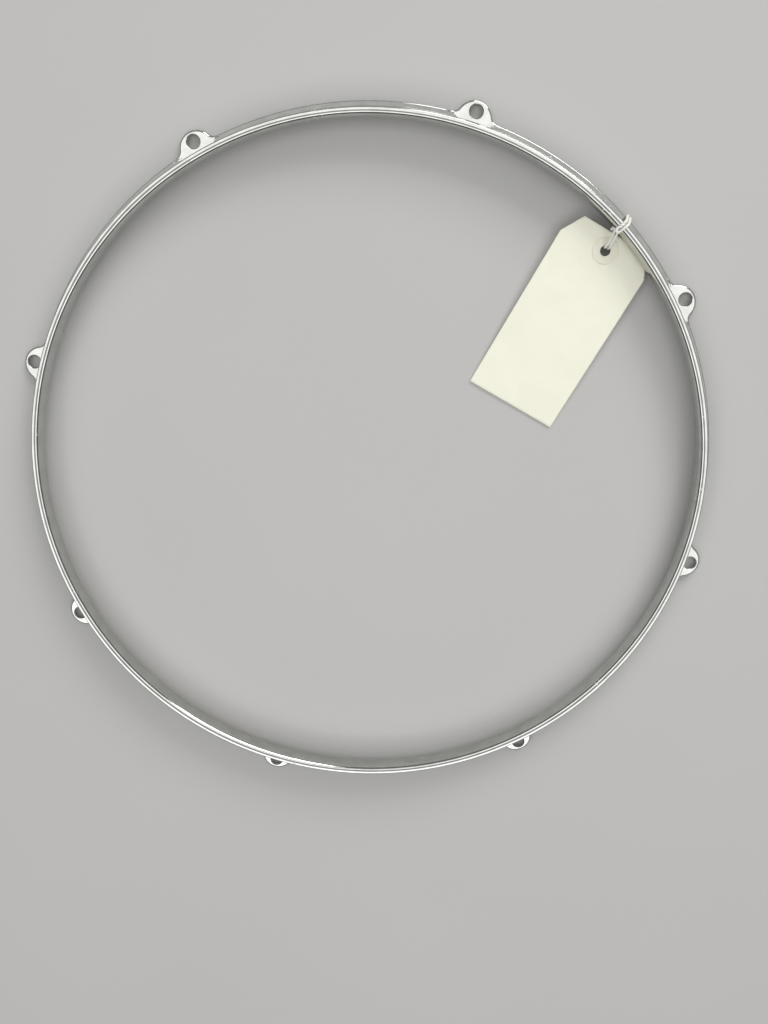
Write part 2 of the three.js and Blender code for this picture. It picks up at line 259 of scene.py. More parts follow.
def mesh_object(name, points, faces, scale=MM):
    mesh = bpy.data.meshes.new(name)
    mesh.from_pydata([tuple(c * scale for c in p) for p in points], [], faces)
    mesh.update()
    made = bpy.data.objects.new(name, mesh)
    bpy.context.scene.collection.objects.link(made)
    return made


def tidy_normals(piece):
    """Faces point out and shade smoothly."""
    work = bmesh.new()
    work.from_mesh(piece.data)
    bmesh.ops.recalc_face_normals(work, faces=work.faces)
    work.to_mesh(piece.data)
    work.free()
    for face in piece.data.polygons:
        face.use_smooth = True


def dress(piece, body, material, nodes=()):
    """Gives a piece its material, its CAD body and the nodes it stands for.

    A piece that bends between two bodies has no body of its own."""
    piece.data.materials.clear()
    piece.data.materials.append(material)
    if body:
        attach(piece, body)
    if nodes:
        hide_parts(*nodes)


# Materials

def linear(colour):
    """A screen colour in linear light, by the sRGB curve, and opaque."""
    shares = [channel / 255 for channel in colour]
    return (*[s / 12.92 if s <= 0.04045 else ((s + 0.055) / 1.055) ** 2.4 for s in shares], 1)


class Material:
    """A node material with one Principled shader, and short calls for the nodes that feed it."""

    def __init__(self, name):
        self.data = bpy.data.materials.new(name)
        self.data.use_nodes = True
        self.nodes = self.data.node_tree.nodes
        self.links = self.data.node_tree.links
        self.shader = self.nodes["Principled BSDF"]
        self.place = self.nodes.new("ShaderNodeTexCoord").outputs["Object"]

    def set(self, **values):
        for name, value in values.items():
            self.shader.inputs[name.replace("_", " ")].default_value = value

    def link(self, source, target):
        self.links.new(source, self.shader.inputs[target] if isinstance(target, str) else target)

    def noise(self, scale, detail=2.0, roughness=0.5, stretch=None):
        node = self.nodes.new("ShaderNodeTexNoise")
        node.inputs["Scale"].default_value = scale
        node.inputs["Detail"].default_value = detail
        node.inputs["Roughness"].default_value = roughness
        place = self.place
        if stretch:
            mapping = self.nodes.new("ShaderNodeMapping")
            mapping.inputs["Scale"].default_value = stretch
            self.links.new(place, mapping.inputs["Vector"])
            place = mapping.outputs["Vector"]
        self.links.new(place, node.inputs["Vector"])
        return node.outputs["Fac"]

    def specks(self, scale):
        """Distance from the nearest of many scattered points."""
        node = self.nodes.new("ShaderNodeTexVoronoi")
        node.inputs["Scale"].default_value = scale
        self.links.new(self.place, node.inputs["Vector"])
        return node.outputs["Distance"]

    def near(self, point, radius):
        """1 at a point of the piece, in metres, and 0 from a radius away."""
        node = self.nodes.new("ShaderNodeVectorMath")
        node.operation = "DISTANCE"
        self.links.new(self.place, node.inputs[0])
        node.inputs[1].default_value = point
        return self.remap(node.outputs["Value"], radius, 0)

    def remap(self, value, low, high, to_low=0.0, to_high=1.0):
        """A value eased from one range into another, and held at its ends."""
        node = self.nodes.new("ShaderNodeMapRange")
        node.interpolation_type = "SMOOTHSTEP"
        for name, number in (("From Min", low), ("From Max", high), ("To Min", to_low), ("To Max", to_high)):
            node.inputs[name].default_value = number
        self.links.new(value, node.inputs["Value"])
        return node.outputs["Result"]

    def calculate(self, operation, first, second):
        node = self.nodes.new("ShaderNodeMath")
        node.operation = operation
        self.links.new(first, node.inputs[0])
        self.links.new(second, node.inputs[1])
        return node.outputs["Value"]

    def blend(self, factor, first, second):
        """A colour between two, each a colour or another node's colour."""
        node = self.nodes.new("ShaderNodeMix")
        node.data_type = "RGBA"
        self.links.new(factor, node.inputs["Factor"])
        for socket, colour in ((node.inputs["A"], first), (node.inputs["B"], second)):
            target = next(s for s in node.inputs if s.name == socket.name and s.type == "RGBA")
            if isinstance(colour, tuple):
                target.default_value = colour
            else:
                self.links.new(colour, target)
        return next(s for s in node.outputs if s.type == "RGBA")

    def bump(self, height, distance, below=None):
        """A surface raised by a height, on top of another bump below it."""
        node = self.nodes.new("ShaderNodeBump")
        node.inputs["Distance"].default_value = distance
        node.inputs["Strength"].default_value = 1
        self.links.new(height, node.inputs["Height"])
        if below:
            self.links.new(below, node.inputs["Normal"])
        return node.outputs["Normal"]


def chrome_material():
    """Polished plating on pressed steel.

    It has slow ripples, a faint haze, dust, and a few spots where dirt has gathered."""
    made = Material("chrome_plate")
    dusty = made.remap(made.noise(scale=46), low=0.56, high=0.68)
    for turn, height, radius in DIRTY_SPOTS:
        place = Vector((*round_point((0, 0), WALL_INNER_RADIUS, turn), height)) * MM
        dusty = made.calculate("MAXIMUM", dusty, made.near(place, radius * MM))
    dust = made.calculate("MULTIPLY", made.remap(made.specks(scale=430), low=0.2, high=0.1), dusty)
    grains = made.remap(made.specks(scale=620), low=0.24, high=0.14)
    grit = made.calculate("MULTIPLY", grains, made.remap(dusty, low=0.9, high=1))
    soiled = made.calculate("MAXIMUM", dust, grit)
    made.link(made.remap(soiled, low=0, high=1, to_low=1, to_high=0.1), "Metallic")
    cloud = made.remap(made.noise(scale=140, detail=3), low=0.35, high=0.65)
    plate = made.blend(cloud, linear(PLATE_LIGHT), linear(PLATE_DARK))
    made.link(made.blend(soiled, plate, linear(DUST)), "Base Color")
    smear = made.noise(scale=55, detail=4, roughness=0.6)
    haze = made.remap(smear, low=0.35, high=0.75, to_low=0.05, to_high=0.12)
    rough = made.remap(soiled, low=0, high=1, to_low=0, to_high=0.6)
    made.link(made.calculate("MAXIMUM", haze, rough), "Roughness")
    ripple = made.bump(made.noise(scale=42, detail=1), distance=0.00006)
    grain = made.bump(made.noise(scale=900, detail=2), distance=0.0000015, below=ripple)
    made.link(grain, "Normal")
    return made.data


def paper_material(name, light, dark):
    """Uncoated manila: faint cloudiness, short fibres, a few flecks and a matt face."""
    made = Material(name)
    cloud = made.remap(made.noise(scale=70, detail=3), low=0.3, high=0.7)
    threads = made.noise(scale=1500, detail=3, roughness=0.6, stretch=(1, 0.35, 1))
    fibres = made.remap(threads, low=0.35, high=0.7)
    base = made.blend(cloud, linear(light), linear(dark))
    patchy = made.remap(made.noise(scale=90), low=0.5, high=0.6, to_low=0, to_high=0.22)
    flecks = made.calculate("MULTIPLY", made.remap(made.specks(scale=420), low=0.12, high=0.05), patchy)
    made.link(made.blend(flecks, base, linear(PAPER_FLECK)), "Base Color")
    made.set(Roughness=0.88, Specular_IOR_Level=0.25)
    fine = made.bump(fibres, distance=0.00003)
    made.link(made.bump(made.noise(scale=300, detail=4), distance=0.00005, below=fine), "Normal")
    return made.data


def cotton_material():
    """Bleached cotton yarn: matt and soft, with a fine fuzz."""
    made = Material("cotton_yarn")
    tone = made.remap(made.noise(scale=700, detail=3), low=0.3, high=0.7)
    made.link(made.blend(tone, linear(COTTON_LIGHT), linear(COTTON_DARK)), "Base Color")
    made.set(Roughness=0.95, Specular_IOR_Level=0.2, Sheen_Weight=0.35, Sheen_Roughness=0.5)
    made.link(made.bump(made.noise(scale=4200, detail=3, roughness=0.7), distance=0.00006), "Normal")
    return made.data


# Hoop

def ring_section():
    """The section that is the same all round.

    It runs from the flange's top, over the lip, to the flange's underside."""
    return [
        *arc(FLANGE_BEND, FLANGE_HOLLOW, -QUARTER, -HALF, steps=6),
        *arc(SKIRT_BEND, OUTER_BEND, 0, QUARTER, steps=9),
        *arc(SHOULDER_BEND, PRESS_BEND, -QUARTER, -HALF, steps=4),
        *arc(LIP_BEND, PRESS_BEND, HALF, QUARTER, steps=4),
        *arc(LIP_EDGE_LOW, EDGE_ROUND, -QUARTER, 0, steps=5),
        *arc(LIP_EDGE_HIGH, EDGE_ROUND, 0, QUARTER, steps=6),
        *arc(LIP_BEND, OUTER_BEND, QUARTER, HALF, steps=13),
        *arc(SHOULDER_BEND, OUTER_BEND, HALF, HALF + QUARTER, steps=9),
        *arc(SKIRT_BEND, PRESS_BEND, QUARTER, 0, steps=4),
        *arc(FLANGE_BEND, FLANGE_OUTER_BEND, HALF, HALF + QUARTER, steps=8),
    ]


def fall(point, nearest):
    """How far the flange's top has sloped down at a point, with the nearest ear's middle at an angle.

    Each ear is a level pad, wider towards its tip, and the flange between two ears slopes to its edge."""
    side = point.length * math.remainder(math.atan2(point.y, point.x) - nearest, FULL)
    beyond = point.length - FLANGE_BEND[0]
    share = min(max(beyond / FLANGE_SLOPE, 0), 1)
    widening = (FLANGE_OUTER_RADIUS * EAR_SPREAD - PAD_ROOT) / (FLANGE_OUTER_RADIUS - FLANGE_BEND[0])
    pad = PAD_ROOT + widening * beyond
    return FLANGE_FALL * share * smooth((abs(side) - pad) / PAD_BLEND)


def quarter_turn(steps):
    """Angles from 0 to a right angle."""
    return [QUARTER * i / steps for i in range(steps + 1)]


def edge_section(share, drop):
    """The flange's outer part as (inset from its outline, height), from its underside to its top.

    The share is 0 on the plain flange and 1 on an ear, where the edge is turned down to the ear's rim."""
    low = RIM_DEPTH * (1 - share)
    high = FLANGE_TOP - drop
    foot = EDGE_ROUND + (EAR_RIM_ROUND - EDGE_ROUND) * share
    crown = EDGE_ROUND + (EAR_CROWN - EDGE_ROUND) * share
    inner = EAR_RIM_WALL + EAR_RIM_DRAFT
    outer = EAR_RIM_WALL - EAR_RIM_DRAFT
    fillet = EAR_RIM_FILLET * share
    rim = EAR_RIM_ROUND * share
    points = []
    for a in quarter_turn(4):
        points.append((inner + EAR_RIM_FILLET * (1 - math.sin(a)), RIM_DEPTH - fillet * (1 - math.cos(a))))
    for a in quarter_turn(4):
        points.append((outer - EAR_RIM_ROUND * (1 - math.cos(a)), low + rim * (1 - math.sin(a))))
    for a in quarter_turn(4):
        points.append((foot * (1 - math.sin(a)), low + foot * (1 - math.cos(a))))
    for a in quarter_turn(8):
        points.append((crown * (1 - math.cos(a)), high - crown * (1 - math.sin(a))))
    return points


def ear_stations():
    """One ear's outline, as (point, outward direction, share of the turned-down rim), x along the ring."""
    steps = 16
    centre = Vector((FILLET_CIRCLE * math.sin(EAR_SPREAD), FILLET_CIRCLE * math.cos(EAR_SPREAD)))
    nose = Vector((0, NOSE_REACH))
    nose_angle = math.atan2(centre.y - nose.y, centre.x - nose.x)
    start = -QUARTER - EAR_SPREAD
    half = []
    for i in range(steps + 1):
        angle = start + (nose_angle - HALF - start) * i / steps
        out = Vector((math.cos(angle), math.sin(angle)))
        half.append((centre + EAR_FILLET * out, -out, smooth(i / steps / TURN_DOWN_SHARE)))
    for i in range(1, steps + 1):
        angle = nose_angle + (QUARTER - nose_angle) * i / steps
        out = Vector((math.cos(angle), math.sin(angle)))
        half.append((nose + NOSE_RADIUS * out, out, 1.0))
    mirrored = [(Vector((-p.x, p.y)), Vector((-n.x, n.y)), share) for p, n, share in half[:-1]]
    return half + mirrored[::-1]


def hoop_stations():
    """Every station round the hoop. Between two ears they lie closer together near the ears.

    Each is the section's angle, a point of the outline, its outward direction, the turned-down rim's share
    and the nearest ear's angle."""
    ear = ear_stations()
    inset = EAR_RIM_WALL + EAR_RIM_DRAFT + EAR_RIM_FILLET
    pitch = FULL / EAR_COUNT
    plain_steps = 38
    crowding = 0.1
    stations = []
    for k in range(EAR_COUNT):
        middle = FIRST_EAR + pitch * k
        turn = Matrix.Rotation(middle - QUARTER, 2)
        for point, out, share in ear:
            base = turn @ (point - inset * out)
            stations.append((math.atan2(base.y, base.x), turn @ point, turn @ out, share, middle))
        for i in range(1, plain_steps):
            share = i / plain_steps
            share -= crowding * math.sin(FULL * share)
            angle = middle + EAR_SPREAD + (pitch - 2 * EAR_SPREAD) * share
            out = Vector((math.cos(angle), math.sin(angle)))
            nearest = middle if i < plain_steps / 2 else middle + pitch
            stations.append((angle, FLANGE_OUTER_RADIUS * out, out, 0.0, nearest))
    return stations


def loft(name, rows):
    """A closed surface through rows of equal length, each row closed and the last joined to the first."""
    count = len(rows[0])
    points = [p for row in rows for p in row]
    faces = []
    for i in range(len(rows)):
        here = i * count
        after = (i + 1) % len(rows) * count
        for j in range(count):
            k = (j + 1) % count
            faces.append((here + j, here + k, after + k, after + j))
    return mesh_object(name, points, faces)


def lathe(name, profile, sides, place):
    """A closed body turned about a vertical axis at a place. Its profile starts and ends on the axis."""
    points = [(place[0], place[1], profile[0][1]), (place[0], place[1], profile[-1][1])]
    middle = profile[1:-1]
    for i in range(sides):
        points += [(*round_point(place, r, FULL * i / sides), z) for r, z in middle]
    faces = []
    count = len(middle)
    for i in range(sides):
        here = 2 + i * count
        after = 2 + (i + 1) % sides * count
        faces.append((0, after, here))
        faces.append((1, here + count - 1, after + count - 1))
        faces += [(here + j, after + j, after + j + 1, here + j + 1) for j in range(count - 1)]
    return mesh_object(name, points, faces)


def hole_cutter(angle):
    """A rod hole with both its edges rolled over, from a little outside the sheet's faces."""
    overrun = 0.04
    flare = EAR_HOLE_RADIUS + HOLE_LIP_ROUND
    profile = [
        (0, -SHEET),
        (flare, -SHEET),
        *arc((flare, RIM_DEPTH + HOLE_LIP_ROUND - overrun), HOLE_LIP_ROUND, -QUARTER, -HALF, steps=6),
        *arc((flare, FLANGE_TOP - HOLE_LIP_ROUND + overrun), HOLE_LIP_ROUND, HALF, QUARTER, steps=6),
        (flare, FLANGE_TOP + SHEET),
        (0, FLANGE_TOP + SHEET),
    ]
    return lathe("rod_hole_cutter", profile, sides=72, place=round_point((0, 0), EAR_HOLE_CIRCLE, angle))


def applied(piece):
    """The piece's mesh with its modifiers applied."""
    bpy.context.view_layer.update()
    return bpy.data.meshes.new_from_object(piece.evaluated_get(bpy.context.evaluated_depsgraph_get()))


def cut(piece, cutters):
    """Cuts the joined cutters out of a piece and deletes them."""
    for cutter in cutters:
        tidy_normals(cutter)
    with bpy.context.temp_override(active_object=cutters[0], selected_editable_objects=cutters):
        bpy.ops.object.join()
    tool = piece.modifiers.new("holes", "BOOLEAN")
    tool.operation = "DIFFERENCE"
    tool.solver = "MANIFOLD"
    tool.object = cutters[0]
    piece.data = applied(piece)
    piece.modifiers.remove(tool)
    bpy.data.objects.remove(cutters[0])


def build_hoop():
    """The pressed strip with its eight ears, as one body."""
    section = ring_section()
    rows = []
    for angle, edge, out, share, nearest in hoop_stations():
        row = [(*round_point((0, 0), r, angle), z) for r, z in section]
        for inset, z in edge_section(share, fall(edge, nearest)):
            row.append((edge.x - inset * out.x, edge.y - inset * out.y, z))
        start, end = Vector(row[-1][:2]), Vector(row[0][:2])
        for step in TOP_SHARES:
            point = start.lerp(end, step)
            row.append((point.x, point.y, FLANGE_TOP - fall(point, nearest)))
        rows.append(row)
    hoop = loft("drum_hoop", rows)
    tidy_normals(hoop)
    cut(hoop, [hole_cutter(FIRST_EAR + FULL / EAR_COUNT * k) for k in range(EAR_COUNT)])
    for face in hoop.data.polygons:
        face.use_smooth = True
    hoop.data.set_sharp_from_angle(angle=STEEL_CREASE)
    weighted = hoop.modifiers.new("weighted_normals", "WEIGHTED_NORMAL")
    weighted.keep_sharp = True
    weighted.weight = 90
    hoop.data = applied(hoop)
    hoop.modifiers.clear()
    level_normals(hoop.data)
    return hoop


def level_normals(mesh):
    """Where a level face ends, its neighbours start level too, so that flats stay flat in a reflection."""
    upright = 0.9999
    level = {}
    for face in mesh.polygons:
        if abs(face.normal.z) > upright:
            for v in face.vertices:
                level[v] = math.copysign(1, face.normal.z)
    normals = []
    for loop, corner in zip(mesh.loops, mesh.corner_normals):
        normal = corner.vector.copy()
        sign = level.get(loop.vertex_index, 0)
        if sign * normal.z > math.cos(STEEL_CREASE):
            normal = Vector((0, 0, sign))
        normals.append(normal)
    mesh.normals_split_custom_set(normals)


# String

OUTWARDS = Vector((math.cos(HITCH_ANGLE), math.sin(HITCH_ANGLE), 0))
ALONG = Vector((-math.sin(HITCH_ANGLE), math.cos(HITCH_ANGLE), 0))
STRING_OFFSET = STRING_DIAMETER / 2 + STRING_GAP
LIP_TURN_RADIUS = OUTER_BEND + STRING_OFFSET


def hitch_point(radius, side, height):
    """A point of the string's own frame: outwards from the ring's axis, along the ring, and up."""
    point = OUTWARDS * radius + ALONG * side
    return Vector((point.x, point.y, height))


BIGHT_PIVOT = round_point(LIP_BEND, LIP_TURN_RADIUS, BIGHT_OPENING)
STRAND_TOP = (BIGHT_PIVOT[0] - STRAND_INSET, BIGHT_PIVOT[1] - STRAND_DROP)
TAG_HOLE_AT = WALL_INNER_RADIUS - TAG_HOLE_INSET
TAG_HOLE_HEIGHT = SHOULDER_UNDER - TAG_HOLE_DROP
TAG_HOLE = hitch_point(TAG_HOLE_AT, -TAG_HOLE_SHIFT, TAG_HOLE_HEIGHT)


def curve_through(points):
    """Points at an even spacing on the centripetal Catmull-Rom curve through these."""
    spacing = 0.2
    steps = 24
    padded = [2 * points[0] - points[1], *points, 2 * points[-1] - points[-2]]
    fine = []
    for a, b, c, d in zip(padded, padded[1:], padded[2:], padded[3:]):
        t1 = math.sqrt((b - a).length)
        t2 = t1 + math.sqrt((c - b).length)
        t3 = t2 + math.sqrt((d - c).length)
        for i in range(steps):
            t = t1 + (t2 - t1) * i / steps
            first = a * ((t1 - t) / t1) + b * (t / t1)
            second = b * ((t2 - t) / (t2 - t1)) + c * ((t - t1) / (t2 - t1))
            third = c * ((t3 - t) / (t3 - t2)) + d * ((t - t2) / (t3 - t2))
            left = first * ((t2 - t) / t2) + second * (t / t2)
            right = second * ((t3 - t) / (t3 - t1)) + third * ((t - t1) / (t3 - t1))
            fine.append(left * ((t2 - t) / (t2 - t1)) + right * ((t - t1) / (t2 - t1)))
    fine.append(points[-1])
    runs = [0.0]
    for p, q in zip(fine, fine[1:]):
        runs.append(runs[-1] + (q - p).length)
    count = max(2, round(runs[-1] / spacing))
    even = []
    j = 0
    for i in range(count + 1):
        target = runs[-1] * i / count
        while j < len(runs) - 2 and runs[j + 1] < target:
            j += 1
        step = runs[j + 1] - runs[j]
        even.append(fine[j].lerp(fine[j + 1], (target - runs[j]) / step if step else 0))
    return even


def frames_along(path):
    """A direction and two sides at each point of a path, turning as little as they can."""
    ahead = [(path[min(i + 1, len(path) - 1)] - path[max(i - 1, 0)]).normalized() for i in range(len(path))]
    side = ahead[0].orthogonal().normalized()
    frames = []
    for direction in ahead:
        side = (side - direction * side.dot(direction)).normalized()
        frames.append((direction, side, direction.cross(side)))
    return frames


def add_tube(points, faces, path, radii, sides):
    """Adds a closed tube with flat ends to lists of points and faces."""
    start = len(points)
    angles = [FULL * i / sides for i in range(sides)]
    for point, radius, (_, side, up) in zip(path, radii, frames_along(path)):
        points += [point + radius * (math.cos(a) * side + math.sin(a) * up) for a in angles]
    for i in range(len(path) - 1):
        here = start + i * sides
        for j in range(sides):
            k = (j + 1) % sides
            faces.append((here + j, here + k, here + sides + k, here + sides + j))
    last = start + (len(path) - 1) * sides
    faces.append(tuple(start + j for j in reversed(range(sides))))
    faces.append(tuple(last + j for j in range(sides)))


def yarn(name, path, diameter, seed):
    """Plies twisted together along a path, each slightly uneven and thinner at its cut ends."""
    lift = 1 + 1 / math.sin(HALF / PLIES)
    ply_radius = diameter / 2 / lift
    offset = diameter / 2 - ply_radius
    frames = frames_along(path)
    spacing = (path[1] - path[0]).length
    points, faces = [], []
    for ply in range(PLIES):
        sway_place = Vector((seed, ply, 0)) * SWAY_PLACES
        swell_place = Vector((ply, seed, SWELL_LAYER)) * SWELL_PLACES
        route, radii = [], []
        for i, (point, (_, side, up)) in enumerate(zip(path, frames)):
            angle = FULL * (i * spacing / PLY_TURN + ply / PLIES)
            out = offset * (1 + SWAY_SHARE * noise.noise(point * SWAY_WAVES + sway_place))
            route.append(point + out * (math.cos(angle) * side + math.sin(angle) * up))
            blunt = BLUNT_SHARES[min(i, len(path) - 1 - i, len(BLUNT_SHARES) - 1)]
            swell = 1 + SWELL_SHARE * noise.noise(point * SWELL_WAVES + swell_place)
            radii.append(ply_radius * PLY_PRESS * blunt * swell)
        add_tube(points, faces, route, radii, sides=9)
    made = mesh_object(name, points, faces)
    tidy_normals(made)
    return made


def tangent_angle(start, start_radius, end, end_radius):
    """The angle at which a straight line leaves one round and reaches the next, with both on its left."""
    way = math.atan2(end[1] - start[1], end[0] - start[0])
    return way - math.acos((start_radius - end_radius) / math.dist(start, end))


def turn_route(inner_side, outer_side):
    """Once round the ring's section.

    It runs from the inner leg on the wall, under the ring and up its outside, over the lip and back in."""
    undercut = tangent_angle(SHOULDER_BEND, OUTER_BEND, FLANGE_BEND, FLANGE_OUTER_BEND) + FULL
    rise = tangent_angle(FLANGE_EDGE_HIGH, EDGE_ROUND, LIP_EDGE_HIGH, EDGE_ROUND)
    edge_turn = EDGE_ROUND + STRING_OFFSET
    section = [
        (WALL_INNER_RADIUS - STRING_OFFSET, LIP_BEND[1] - INNER_LEG_DROP + STRING_OFFSET),
        *arc(SHOULDER_BEND, OUTER_BEND + STRING_OFFSET, HALF, undercut, steps=2),
        *arc(FLANGE_BEND, FLANGE_OUTER_BEND + STRING_OFFSET, undercut, HALF + QUARTER, steps=2),
        *arc(FLANGE_EDGE_LOW, edge_turn, -QUARTER, 0, steps=4),
        *arc(FLANGE_EDGE_HIGH, edge_turn, 0, rise, steps=1),
        *arc(LIP_EDGE_HIGH, edge_turn, rise, QUARTER, steps=4),
        *arc(LIP_BEND, LIP_TURN_RADIUS, QUARTER, TURN_END, steps=3),
    ]
    runs = [0.0]
    for p, q in zip(section, section[1:]):
        runs.append(runs[-1] + math.dist(p, q))
    route = []
    for (radius, height), run in zip(section, runs):
        share = run / runs[-1]
        side = inner_side + (outer_side - inner_side) * share + TURN_SWAY * math.sin(HALF * share)
        route.append(hitch_point(radius, side, height))
    return route


def bight_route():
    """The bend of the loop that holds the strands, from one turn's end to the other's."""
    reach = TURN_SPACING / 2

    def point(distance, side):
        radius = BIGHT_PIVOT[0] - distance * math.cos(BIGHT_SLOPE)
        return hitch_point(radius, side, BIGHT_PIVOT[1] - distance * math.sin(BIGHT_SLOPE))

    bend = [point(BIGHT_STRAIGHT + y, x) for x, y in arc((0, 0), reach, 0, HALF, steps=8)]
    return [point(-BIGHT_LEAD, reach), *bend, point(-BIGHT_LEAD, -reach)]


def knot_place():
    """Where the knot has been pulled to: under the card, just past the hole's edge."""
    low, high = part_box("string_knot")
    return (low + high) / 2 / MM + OUTWARDS * KNOT_TUCK


def strand_route(side):
    """From under the bight, down across the tag's top edge and through its hole to the knot."""
    top = Vector(STRAND_TOP)
    towards = Vector((top.x - TAG_HOLE_AT, TAG_HOLE_SHIFT)).normalized()
    across = Vector((-towards.y, towards.x))
    face = TAG_THICKNESS / 2 + STRAND_LIFT + PATCH_THICKNESS
    reach = math.sqrt((TAG_HOLE_RADIUS - STRING_OFFSET) ** 2 - (STRAND_SPACING / 2) ** 2)
    hole = Vector((TAG_HOLE_AT, -TAG_HOLE_SHIFT)) + towards * reach + across * side
    tucked = hole + towards * STRAND_TUCK
    upper = Vector((top.x, side))
    entry = TAG_HOLE_HEIGHT + face + STRAND_BEND
    free = [(upper.lerp(hole, s), top.y + (entry - top.y) * s) for s in STRAND_SHARES]
    return [
        *[hitch_point(p.x, p.y, z) for p, z in free],
        hitch_point(hole.x, hole.y, TAG_HOLE_HEIGHT + face),
        hitch_point(hole.x, hole.y, TAG_HOLE_HEIGHT),
        hitch_point(tucked.x, tucked.y, TAG_HOLE_HEIGHT - face - STRING_GAP),
        knot_place() + ALONG * side * KNOT_ENTRY_SHARE,
    ]


def neck_route(side):
    """From the top of a leg on the wall, turned over under the bight and down into a strand."""
    wall = WALL_INNER_RADIUS - STRING_OFFSET
    leg = INNER_LEG_SHIFT + side
    out, drop = NECK_FOLD
    return [
        hitch_point(wall, leg, LIP_BEND[1] - NECK_START_DROP),
        hitch_point(wall, leg, LIP_BEND[1] - NECK_FREE_DROP),
        hitch_point(wall + out, (leg + 2 * side) / 3, STRAND_TOP[1] - drop),
        *[hitch_point(STRAND_TOP[0] + x, side + y, STRAND_TOP[1] + z) for x, y, z in NECK_POINTS],
    ]


def build_string(material):
    """Two turns, each with a neck and a strand, then the bight that joins the turns, and the knot."""
    for number, sign in ((1, -1), (2, 1)):
        side = sign * STRAND_SPACING / 2
        turn_path = curve_through(turn_route(INNER_LEG_SHIFT + side, sign * TURN_SPACING / 2))
        turn = yarn(f"cotton_turn_{number}", turn_path, SLACK_YARN, seed=number)
        dress(turn, "string_hitch", material, [f"string_turn_{number}"])
        neck = yarn(f"cotton_neck_{number}", curve_through(neck_route(side)), TAUT_YARN, seed=number + 5)
        dress(neck, None, material)
        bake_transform(neck)
        strand_path = curve_through(strand_route(side))
        strand = yarn(f"cotton_strand_{number}", strand_path, TAUT_YARN, seed=number + 2)
        dress(strand, "tag", material, [f"string_strand_{number}"])
    bight = yarn("cotton_bight", curve_through(bight_route()), SLACK_YARN, seed=5)
    dress(bight, "string_bight", material, ["string_bight"])
    dress(build_knot(), "tag", material, ["string_knot"])


def build_knot():
    """The two ends tied together under the tag, as a small tight overhand knot in a closed loop."""
    steps = 96
    loop_reach = 3
    low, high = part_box("string_knot")
    middle = knot_place()
    reach = (high.x - low.x) / 2 / MM
    size = (reach - KNOT_MARGIN) / loop_reach
    path = []
    for i in range(steps + 1):
        t = FULL * i / steps
        x = math.sin(t) + 2 * math.sin(2 * t)
        y = math.cos(t) - 2 * math.cos(2 * t)
        path.append(middle + size * Vector((x, y, -KNOT_DEPTH * math.sin(3 * t))))
    return yarn("cotton_knot", path, KNOT_YARN, seed=9)


# Tag

def tag_matrix():
    """From the flat card, with its hole at the origin, to where it lies: turned, and tipped to the floor."""
    tip = math.asin((TAG_HOLE_HEIGHT - TAG_FLOOR_GAP) / (TAG_LENGTH - TAG_HOLE_EDGE))
    return Matrix.Translation(TAG_HOLE) @ Matrix.Rotation(TAG_YAW, 4, "Z") @ Matrix.Rotation(tip, 4, "X")


def curl_radius():
    """The curl's radius, with which the turned-down corner stays clear of the skirt."""
    hole = TAG_HOLE.x * math.cos(CURL_DIRECTION) + TAG_HOLE.y * math.sin(CURL_DIRECTION)
    reach = SKIRT_INNER_RADIUS - CURL_CLEARANCE - hole - CURL_START
    return reach / math.sin(CURL_TURN) - TAG_THICKNESS / 2


def curled(point, lift):
    """Where a point of the flat card goes: its corner by the ring is turned down under the wall."""
    along = point.dot(CURL)
    across = point - CURL * along
    if along <= CURL_START:
        place = Vector((point.x * CARD_WAVES[0], point.y * CARD_WAVES[1], CARD_WAVE_LAYER))
        wave = CARD_WAVE * noise.noise(place)
        reach = along
        height = lift + wave * smooth((CURL_START - along) / CARD_WAVE_FADE)
    else:
        radius = curl_radius()
        angle = (along - CURL_START) / radius
        reach = CURL_START + (radius + lift) * math.sin(angle)
        height = (radius + lift) * math.cos(angle) - radius
    flat = across + CURL * reach
    return Vector((flat.x, flat.y, height))


def tag_outline():
    """The flat card, with its two corners cut beside the hole."""
    right = TAG_WIDTH / 2
    top = TAG_HOLE_EDGE
    bottom = TAG_HOLE_EDGE - TAG_LENGTH
    wide, long = TAG_CORNER
    return [
        (-right, bottom),
        (right, bottom),
        (right, top - long),
        (right - wide, top),
        (wide - right, top),
        (-right, top - long),
    ]


def sheet_triangles(outline, hole_radius, spacing):
    """A flat sheet's points and triangles, with a round hole at the origin."""
    hole_sides = 48
    row_share = 0.866
    stagger_share = 0.5
    tolerance = 1e-6
    near_edge = 0.4 * spacing
    near_hole = hole_radius + 0.5 * spacing
    rim = []
    for a, b in zip(outline, outline[1:] + outline[:1]):
        steps = max(1, round(math.dist(a, b) / spacing))
        rim += [(a[0] + (b[0] - a[0]) * i / steps, a[1] + (b[1] - a[1]) * i / steps) for i in range(steps)]
    hole = arc((0, 0), hole_radius, FULL, 0, hole_sides)[:-1]
    points = [Vector(p) for p in rim + hole]
    edges = [(i, (i + 1) % len(rim)) for i in range(len(rim))]
    edges += [(len(rim) + i, len(rim) + (i + 1) % hole_sides) for i in range(hole_sides)]
    xs, ys = zip(*outline)
    row = 0
    y = min(ys) + spacing
    while y < max(ys):
        x = min(xs) + spacing * (1 + stagger_share * (row % 2))
        while x < max(xs):
            if math.hypot(x, y) >= near_hole and inside(outline, x, y, near_edge):
                points.append(Vector((x, y)))
            x += spacing
        y += spacing * row_share
        row += 1
    verts, _, faces, *_ = delaunay_2d_cdt(points, edges, [], 0, tolerance)
    hole_apothem = hole_radius * 0.999 * math.cos(HALF / hole_sides)
    keep = []
    for face in faces:
        x = sum(verts[i].x for i in face) / len(face)
        y = sum(verts[i].y for i in face) / len(face)
        if math.hypot(x, y) > hole_apothem and inside(outline, x, y, 0):
            keep.append(tuple(face))
    return verts, keep


